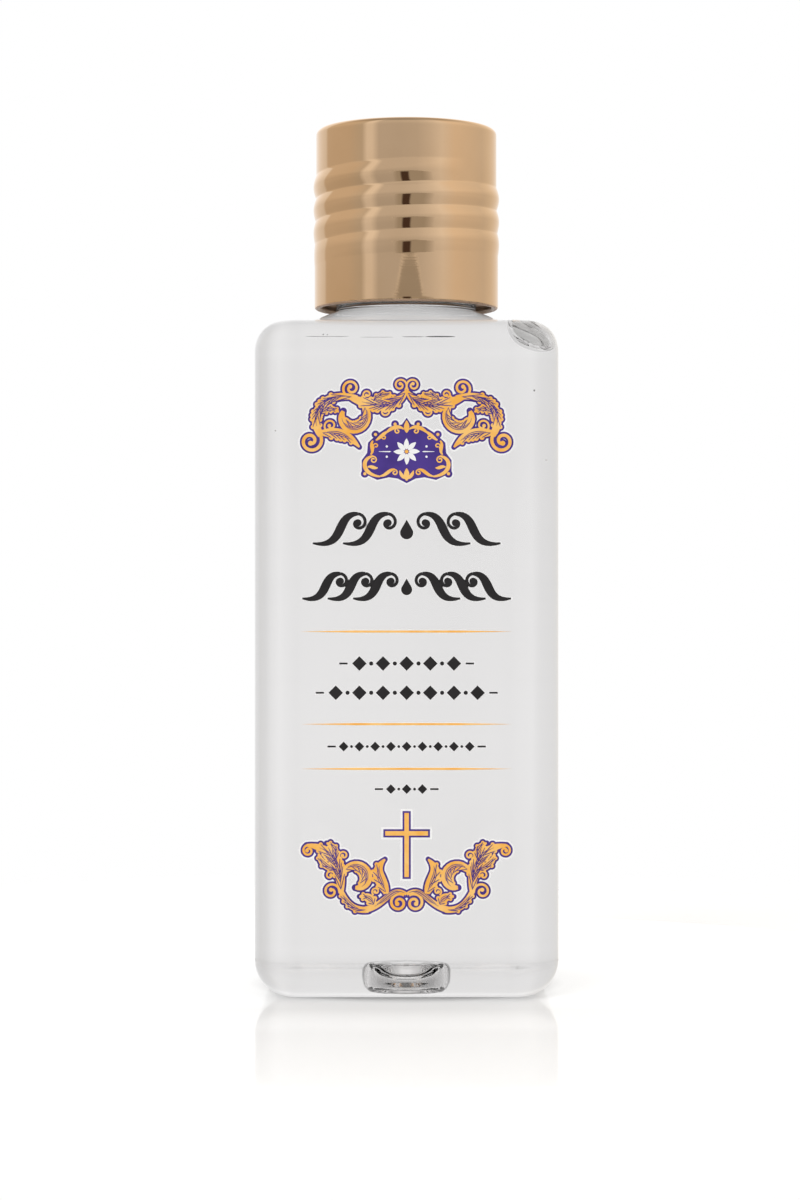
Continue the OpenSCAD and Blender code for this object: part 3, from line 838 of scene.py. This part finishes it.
def scroll_mesh(name, strokes, centre_z):
    def layer(grow):
        patches = []
        for path, w, sides in strokes:
            patches += stroke(path, w, grow)
            if sides is CURL:
                patches.append(disc(path[-1], w[2] * 0.5 + grow + 0.12))
            else:
                patches += [disc(middle, r + grow, 14) for _, middle, r in lobes(path, w, sides)]
        return both_sides(patches)
    lines = []
    for path, w, sides in strokes:
        if sides is not CURL:
            for wide, shift, part in VEINS:
                lines += stroke(path, wide, 0, shift, part)
            for foot, middle, _ in lobes(path, w, sides):
                lines += stroke(stem([foot, foot, middle, middle], 4), LOBE_VEIN)
    layers = [film(name + "_ground", layer(SCROLL_GROUND), centre_z, *GROUND, WHITE_INK),
              film(name + "_outline", layer(SCROLL_OUTLINE), centre_z, *OUTLINE, PURPLE_INK),
              film(name + "_fill", layer(0.0), centre_z, *FILL, GOLD_INK),
              film(name + "_lines", both_sides(lines), centre_z, *FINE, PURPLE_INK)]
    return joined(name, layers)


def box_patch(x, y, half_x, half_y):
    return [(x - half_x, y - half_y), (x + half_x, y - half_y), (x + half_x, y + half_y), (x - half_x, y + half_y)]


# Bell-shaped cartouche: right half of its outline, its knobs, and the gold strokes of its border
PLAQUE_W, PLAQUE_H = 13, 9.4
PLAQUE_HALF = [(x * PLAQUE_W, y * PLAQUE_H) for x, y in (
    (0, 0.5), (0.05, 0.4), (0.21, 0.36), (0.33, 0.25), (0.43, 0.12), (0.44, -0.04), (0.5, -0.15), (0.5, -0.34),
    (0.33, -0.45), (0.2, -0.41), (0.1, -0.43), (0, -0.5))]
PLAQUE_KNOBS = [(x * PLAQUE_W, y * PLAQUE_H) for x, y in ((0.13, 0.41), (0.35, 0.25), (0.47, -0.36))]
KNOB_R = PLAQUE_H / 18
PLAQUE_BORDER = [
    (stem([(0, 2.6), (0, 3.1), (0, 3.7), (0, 4.4)], 10), (0.12, 0.8, 0.08), BARE),
    leaf((0.4, 3.1), (1.2, 3.75), (2.1, 3.4), (2.9, 2.7), (0.16, 0.55, 0.3)),
    curl((1.35, 2.85), 0.42, 0.12, 100, -1.1, 0.2),
    leaf((2.8, 2.75), (3.4, 2.5), (3.8, 1.9), (4.5, 1.5), (0.25, 0.5, 0.2)),
    curl((3.3, 1.95), 0.36, 0.1, 60, -1.1, 0.18),
    leaf((4.9, 1.45), (5.5, 0.7), (4.6, 0.1), (5.25, -0.6), (0.2, 0.5, 0.2)),
    curl((4.5, 0.7), 0.42, 0.12, -60, 1.1, 0.18),
    leaf((4.85, -0.8), (6.75, -1.1), (6.6, -3.5), (3.9, -3.8), (0.25, 0.6, 0.25)),
    curl((4.85, -1.35), 0.5, 0.13, 85, 1.2, 0.2),
    (stem([(5.7, -2.4), (5.1, -2.2), (4.7, -2.7), (4.2, -2.5)], 10), (0.15, 0.5, 0.1), BARE),
    leaf((3.9, -3.75), (2.8, -3.6), (2.6, -2.7), (1.7, -2.75), (0.2, 0.5, 0.2)),
    curl((1.75, -3.2), 0.42, 0.12, 90, 1.1, 0.2),
    (stem([(0, -4.4), (0, -3.8), (0, -3.2), (0, -2.6)], 10), (0.2, 0.8, 0.08), BARE),
    (stem([(0.12, -4.1), (0.6, -3.9), (0.9, -3.4), (1, -2.9)], 10), (0.15, 0.5, 0.08), BARE),
]


def plaque_patches(grow):
    outline = PLAQUE_HALF + [(-x, y) for x, y in PLAQUE_HALF[-2:0:-1]]
    patches = [[(0, 0), a, b] for a, b in zip(outline, outline[1:] + outline[:1])]
    for a, b in zip(outline, outline[1:] + outline[:1]):
        patches += stroke([a, b], (2 * grow, 2 * grow, 2 * grow)) + [disc(a, grow, 14)]
    return patches + both_sides([disc(knob, KNOB_R + grow) for knob in PLAQUE_KNOBS])


def repeat_tree():
    """Geometry tree that sets copies of a mark along a straight row."""
    tree, given, out = geo_tree("row_of_marks", Count="Int", Spacing="Float")
    span = product(math_of("SUBTRACT", given["Count"], 1.0), given["Spacing"])
    start = node_of(tree, "ShaderNodeCombineXYZ", {"X": product(span, -0.5)})
    gap = node_of(tree, "ShaderNodeCombineXYZ", {"X": given["Spacing"]})
    row = node_of(tree, "GeometryNodeMeshLine", {"Count": given["Count"], "Offset": gap.outputs[0],
                                                 "Start Location": start.outputs[0]})
    set_copies(tree, given, row, (0, 0, 0), out)
    return tree


def wheel_tree():
    """Geometry tree that sets copies of a petal round a point of the panel."""
    tree, given, out = geo_tree("wheel_of_petals", Count="Int", Middle="Vector")
    points = node_of(tree, "GeometryNodePoints", {"Count": given["Count"], "Position": given["Middle"]})
    share = math_of("DIVIDE", tree.nodes.new("GeometryNodeInputIndex").outputs[0], given["Count"])
    turn = node_of(tree, "ShaderNodeCombineXYZ", {"Y": product(share, TAU)})
    set_copies(tree, given, points, turn.outputs[0], out)
    return tree


ROW = repeat_tree()
WHEEL = wheel_tree()


def wave_patches(length, shift, grow):
    """One rolling wave, moved sideways, that rises from the trough before it and ends in a curled crest."""
    crest, eye = 0.5 * length, (0.5 * length, 0.2 * length)
    back = stem([(-length, -0.48 * length), (0.15 * length, -0.68 * length), (-0.3 * length, crest), (eye[0], crest)])
    patches = stroke(back, (0.25, 1.3, 0.5), grow)
    patches += stroke(volute(eye, crest - eye[1], 0.3, 90, -0.9), (0.45, 0.45, 0.45), grow) + [disc(eye, 0.52 + grow)]
    return [[(x + shift, y) for x, y in patch] for patch in patches]


def drop_patches(r, grow):
    """Drop of water that hangs a little below the middle of its row."""
    side = math.sqrt(3) / 2 * r
    tip = [(-side - grow, r / 2), (0, 2 * (r + grow)), (side + grow, r / 2)]
    return [[(x, y - 0.6 * r) for x, y in patch] for patch in (disc((0, 0), r + grow, 32), tip)]


def on_ground(mark_ink):
    """Growth, depths and ink of the white ground under a mark and of the mark itself."""
    return (GROUND_MARGIN, GROUND, WHITE_INK), (0.0, FILL, mark_ink)


def wave_band_mesh():
    """Rows of waves that roll towards a drop in the middle: place, waves on a side, their length, the drop's size."""
    layers = []
    for share, count, length, drop_r in ((0.72, 2, 4.4, 0.95), (0.612, 3, 3.7, 0.8)):
        middle = 2.85 * drop_r + count * length / 2
        for grow, depth, mat in on_ground(BLACK_INK):
            left = wave_patches(length, -middle, grow)
            for patches in (left, mirrored(left)):
                wave = film("wave", patches, at(share), *depth, mat)
                layers.append(grown("waves", wave, ROW, Count=count, Spacing=length * MM, Material=mat))
            layers.append(film("drop", drop_patches(drop_r, grow), at(share), *depth, mat))
    return joined("wave_band_ink", layers)


def row_marks_mesh():
    """Rows of lozenges with dots between them and a dash at each end: place, lozenges in the row, their size."""
    layers = []
    for share, count, size in ((0.467, 5, 1.5), (0.412, 7, 1.5), (0.311, 9, 1.0), (0.231, 3, 1.0)):
        step = 2.3 * size
        for grow, depth, mat in on_ground(BLACK_INK):
            reach = size / math.sqrt(2) + grow * 1.4
            lozenge = [(reach, 0), (0, reach), (-reach, 0), (0, -reach)]
            dot = disc((0, 0), 0.2 * size + grow)
            for patch, copies in ((lozenge, count), (dot, count - 1)):
                mark = film("mark", [patch], at(share), *depth, mat)
                layers.append(grown("marks", mark, ROW, Count=copies, Spacing=step * MM, Material=mat))
            dashes = both_sides([box_patch((count * step + 1.2) / 2, 0, 0.6 + grow, 0.125 + grow)])
            layers.append(film("dashes", dashes, at(share), *depth, mat))
    return joined("row_marks_ink", layers)


def plaque_mesh():
    z = at(0.867)
    border = []
    for path, w, _ in PLAQUE_BORDER:
        border += stroke(path, w)
    border += [disc(knob, 0.45 * KNOB_R) for knob in PLAQUE_KNOBS]
    layers = [film("plaque_ground", plaque_patches(0.3), z, *GROUND, WHITE_INK),
              film("plaque_field", plaque_patches(0.05), z, *OUTLINE, PURPLE_INK),
              film("plaque_border", both_sides(border), z, *FILL, GOLD_INK)]
    petal = film("petal", stroke(stem([(0.35, 0), (0.8, 0.05), (1.3, 0.05), (1.9, 0)], 10), (0.2, 0.72, 0.08)),
                 0, *FILL, WHITE_INK)
    petal.transform(Matrix.Translation((0, -PANEL_Y * MM, 0)))
    flower_z = z - 0.15
    layers.append(grown("petals", petal, WHEEL, Count=8, Middle=(0, PANEL_Y * MM, flower_z * MM), Material=WHITE_INK))
    layers.append(film("flower_eye", [disc((0, 0), 0.27)], flower_z, *FILL, GOLD_INK))
    rule = [(2.25, 0), (2.5, 0.09), (4.05, 0.03), (4.05, -0.03), (2.5, -0.09)]
    sprigs = [rule, disc((2.9, 0.75), 0.17, 14), disc((2.9, -0.75), 0.17, 14)]
    layers.append(film("plaque_sprigs", both_sides(sprigs), flower_z, *FILL, WHITE_INK))
    return joined("plaque_ink", layers)


def rules_mesh():
    half, thick = 15.5, 0.3
    layers = []
    for share in (0.527, 0.353, 0.269):
        for grow, depth, mat in on_ground(GOLD_INK):
            t = thick / 2 + grow
            bar = [(-half, 0), (-half / 2, -t), (half / 2, -t), (half, 0), (half / 2, t), (-half / 2, t)]
            layers.append(film("rule", [bar], at(share), *depth, mat))
    return joined("gold_rules_ink", layers)


def cross_mesh():
    def bars(grow):
        return [box_patch(0, 0, 0.6 + grow, 4.95 + grow), box_patch(0, 1.7, 3.4 + grow, 0.6 + grow)]
    z = at(0.126)
    layers = [film("cross_ground", bars(0.3), z, *GROUND, WHITE_INK),
              film("cross_outline", bars(0.0), z, *OUTLINE, PURPLE_INK),
              film("cross_fill", bars(-0.27) + [[(0.5, 1.7), (0, 2.2), (-0.5, 1.7), (0, 1.2)]], z, *FILL, GOLD_INK)]
    return joined("cross_ink", layers)


# ---- pieces

piece("bottle_clear", bottle_mesh(), "bottle", "bottle_body")
piece("water_fill", water_mesh(), "bottle", "water")
piece("cap_shell_gold", shell_mesh(), "cap", "cap_shell")
piece("upper_scroll_ink", scroll_mesh("upper_scroll_ink", UPPER, at(0.93)), "bottle", "upper_scroll")
piece("lower_scroll_ink", scroll_mesh("lower_scroll_ink", LOWER, at(0.069)), "bottle", "lower_scroll")
piece("plaque_ink", plaque_mesh(), "bottle", "plaque")
piece("wave_band_ink", wave_band_mesh(), "bottle", "wave_band")
piece("row_marks_ink", row_marks_mesh(), "bottle", "row_marks")
piece("gold_rules_ink", rules_mesh(), "bottle", "gold_rules")
piece("cross_ink", cross_mesh(), "bottle", "cross")
for node, mat in (("pour_plug", NATURAL), ("cap_liner", WHITE_FOAM), ("cap_core", WHITE_PLASTIC)):
    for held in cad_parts[node].material_slots:
        held.material = mat


# ---- studio, in metres

LAMP_AIM = Vector((0, 0, 0.06))
CAMERA_PLACE = (-0.00097, -0.45, 0.05865)
SENSOR_H = 36
FOCAL_PX, FRAME_PX = 2928.5, 1200


def studio_world():
    """White to the camera; to the object, a bright backdrop and sides with a greyer room in front."""
    world = bpy.data.worlds.new("studio")
    world.use_nodes = True
    bpy.context.scene.world = world
    tree = world.node_tree
    towards = tree.nodes.new("ShaderNodeTexCoord").outputs["Generated"]
    place = node_of(tree, "ShaderNodeSeparateXYZ", {0: towards}).outputs
    right, back, up = (share_of(place[axis]) for axis in "XYZ")
    bearing = math_of("ARCTAN2", place["X"], product(place["Y"], -1.0))
    turned = math_of("ADD", math_of("DIVIDE", bearing, TAU), 0.5)
    # What is mirrored, by its bearing in degrees from the front and by its height
    tones = [(-180, 1.08), (-158, 1.06), (-138, 0.93), (-124, 0.85), (-119, (0.68, 0.615, 0.525)),
             (-78, (0.66, 0.6, 0.52)), (-58, (0.6, 0.58, 0.54)), (-51, 0.86), (-44, 0.86), (-35, 0.61), (-8, 0.6),
             (14, 0.63), (30, 0.73), (46, 0.86), (64, (0.86, 0.8, 0.72)), (112, (0.75, 0.72, 0.67)),
             (130, (0.84, 0.79, 0.7)), (158, (1.0, 0.94, 0.86)), (180, 1.06)]
    room = ramp_of(turned, [((degrees + 180) / 360, tone) for degrees, tone in tones])
    height = ramp_of(up, [(0.1, 0.8), (0.42, 0.9), (0.5, 0.96), (0.56, 0.96), (0.66, 1.12), (0.85, 1.12),
                          (0.97, 0.6)])
    # What shows through the bottle: a plain pale backdrop that greys to its sides
    backdrop = ramp_of(right, [(0.0, 0.84), (0.12, 0.8), (0.25, 0.74), (0.42, 0.78), (0.465, 0.845),
                               (0.5, 0.825), (0.51, 0.815), (0.53, 0.85), (0.55, 0.865), (0.58, 0.82),
                               (0.62, 0.73), (0.68, 0.7), (0.8, 0.74), (0.9, 0.8), (1.0, 0.84)])
    level = ramp_of(up, [(0.1, 1.0), (0.25, 0.86), (0.34, 0.88), (0.4, 0.97), (0.478, 1.02), (0.55, 0.98),
                         (0.59, 1.0), (0.62, 1.15), (0.65, 1.1), (0.69, 0.9), (0.75, 0.8), (0.9, 0.6)])
    # Light that the bottle bends upwards and to the front shows the darker room there; what lies inside the clear
    # plastic is lit evenly
    behind = ramp_of(back, [(0.3, 0.3), (0.5, 0.75), (0.62, 1.0)])
    beside = ramp_of(up, [(0.56, 1.0), (0.62, 0.0)])
    path = tree.nodes.new("ShaderNodeLightPath").outputs
    around = math_of("MAXIMUM", math_of("MAXIMUM", behind, beside), clamped(path["Diffuse Depth"]))

    def mixed(share, first, second, blend="MIX"):
        return node_of(tree, "ShaderNodeMixRGB", {0: share, 1: first, 2: second}, blend_type=blend).outputs[0]
    mirror = mixed(1.0, room, height, "MULTIPLY")
    through = mixed(1.0, mixed(1.0, backdrop, level, "MULTIPLY"), around, "MULTIPLY")
    seen = mixed(path["Is Camera Ray"], mixed(path["Is Transmission Ray"], mirror, through), (1, 1, 1, 1))
    link(seen, tree.nodes["Background"].inputs["Color"])


def studio_floor():
    """Pale glossy floor that loses its gloss and fades into the white background away from the bottle."""
    mat, tree = finish_named("pale_floor", Roughness=0.03, Base_Color=(0.88, 0.88, 0.88, 1))
    shader = tree.nodes["Principled BSDF"]
    place = object_coords(tree)
    distance = node_of(tree, "ShaderNodeVectorMath", {0: place}, operation="LENGTH").outputs["Value"]
    # Share of 200 mm from the axis of the bottle
    away = product(distance, 5.0)
    gloss = ramp_of(away, [(0.11, 0.6), (0.25, 0.34), (0.36, 0.16), (0.49, 0.0)])
    link(gloss, shader.inputs["Specular IOR Level"])
    fade = ramp_of(away, [(0.35, 0.0), (0.95, 1.0)], "EASE")
    # A little light of its own keeps the floor white to the camera: least in front, where it mirrors the bottle, and
    # none under the heel, where a dark line shows that the bottle stands on it
    back = share_of(node_of(tree, "ShaderNodeSeparateXYZ", {0: place}).outputs["Y"], 10.0)
    beside = ramp_of(back, [(0.2, 0.09), (0.32, 0.19)])
    contact = ramp_of(away, [(0.1, 0.0), (0.12, 1.0)])
    path = tree.nodes.new("ShaderNodeLightPath").outputs
    glow = product(path["Is Camera Ray"], beside, contact)
    lift = node_of(tree, "ShaderNodeEmission", {"Strength": glow})
    lit = node_of(tree, "ShaderNodeAddShader", {0: shader.outputs[0], 1: lift.outputs[0]})
    # Mirrors and clear pieces see through the floor
    hidden = math_of("MAXIMUM", fade, path["Is Glossy Ray"])
    show_mix(hidden, lit, tree.nodes.new("ShaderNodeBsdfTransparent"))
    size, sink = 0.4, 5e-5
    corners = [(-size, -size, -sink), (size, -size, -sink), (size, size, -sink), (-size, size, -sink)]
    mesh = mesh_of("floor", corners, [(0, 1, 2, 3)], mat)
    linked("floor", mesh)


def room_card(name, y, outline, tone, fade):
    """Upright card in front of the bottle that shows only in reflections and thins out at both sides."""
    mat, tree = finish_named(name)
    left, right = min(x for x, _ in outline), max(x for x, _ in outline)
    span = right - left
    along = node_of(tree, "ShaderNodeSeparateXYZ", {0: object_coords(tree)}).outputs["X"]
    share = math_of("DIVIDE", math_of("SUBTRACT", along, left), span)
    shown = ramp_of(share, [(0, 0.0), (fade[0] / span, 1.0), (1 - fade[1] / span, 1.0), (1, 0.0)])
    glow = node_of(tree, "ShaderNodeEmission", {"Color": (*tone, 1)})
    show_mix(shown, tree.nodes.new("ShaderNodeBsdfTransparent"), glow)
    mesh = mesh_of(name, [(x, y, z) for x, z in outline], [tuple(range(len(outline)))], mat)
    obj = linked(name, mesh)
    obj.visible_camera = obj.visible_diffuse = obj.visible_transmission = obj.visible_shadow = False


def soft_lamp(name, place, size, power):
    """Square lamp that faces the middle of the bottle and shows in no reflection."""
    lamp = bpy.data.lights.new(name, "AREA")
    lamp.size = size
    lamp.energy = power
    obj = linked(name, lamp)
    obj.location = place
    obj.rotation_euler = (LAMP_AIM - Vector(place)).to_track_quat("-Z", "Y").to_euler()
    obj.visible_glossy = obj.visible_transmission = False


def camera():
    """Level camera in front of the printed panel, with the photograph's field of view."""
    lens = bpy.data.cameras.new("camera")
    lens.sensor_fit = "VERTICAL"
    lens.sensor_height = SENSOR_H
    lens.lens = SENSOR_H * FOCAL_PX / FRAME_PX
    lens.clip_start = 0.01
    obj = linked("camera", lens)
    obj.location = CAMERA_PLACE
    obj.rotation_euler = (math.pi / 2, 0, 0)
    bpy.context.scene.camera = obj


studio_world()
studio_floor()
# A brown-grey card with a rounded top and a paler one behind it, on a low wide card, and a narrow dark card
TOP_EDGE = [(0.175, 0.151), (0.15, 0.1525), (0.128, 0.1545), (0.111, 0.1568), (0.095, 0.1595), (0.071, 0.1622),
            (0.04, 0.1642), (0.012, 0.165)]
CARD_X, CARD_FOOT, EDGE_FOOT = 0.04, 0.1465, 0.147
for card, y, grow, tone in (("round_card", -0.47, 1.0, (0.4, 0.39, 0.37)),
                            ("round_card_edge", -0.475, 1.13, (0.78, 0.77, 0.75))):
    right = [(CARD_X + grow * x, EDGE_FOOT + (z - EDGE_FOOT) * (1.04 * grow - 0.04)) for x, z in TOP_EDGE]
    left = [(2 * CARD_X - x, z) for x, z in right]
    foot = [(left[0][0], CARD_FOOT), (right[0][0], CARD_FOOT)]
    room_card(card, y, foot + right + left[::-1], tone, (0.002, 0.002))
CARDS_LOW = -0.9
room_card("wide_card", -0.468, [(-0.12, CARDS_LOW), (0.33, CARDS_LOW), (0.33, 0.1475), (-0.07, 0.1475), (-0.1, 0.14),
                                (-0.12, 0.12)], (0.42, 0.41, 0.385), (0.05, 0.14))
room_card("dark_card", -0.465, [(-0.045, CARDS_LOW), (0.055, CARDS_LOW), (0.055, 0.135), (-0.045, 0.135)],
          (0.075, 0.05, 0.04), (0.02, 0.02))
soft_lamp("front_lamp", (-0.5, -0.8, 0.6), 0.6, 5)
soft_lamp("top_lamp", (0.2, 0.1, 0.9), 0.7, 2)
camera()
bpy.context.scene.view_settings.view_transform = "Standard"
# Light crosses three faces at each wall of the filled bottle
bpy.context.scene.cycles.max_bounces = bpy.context.scene.cycles.transmission_bounces = 32
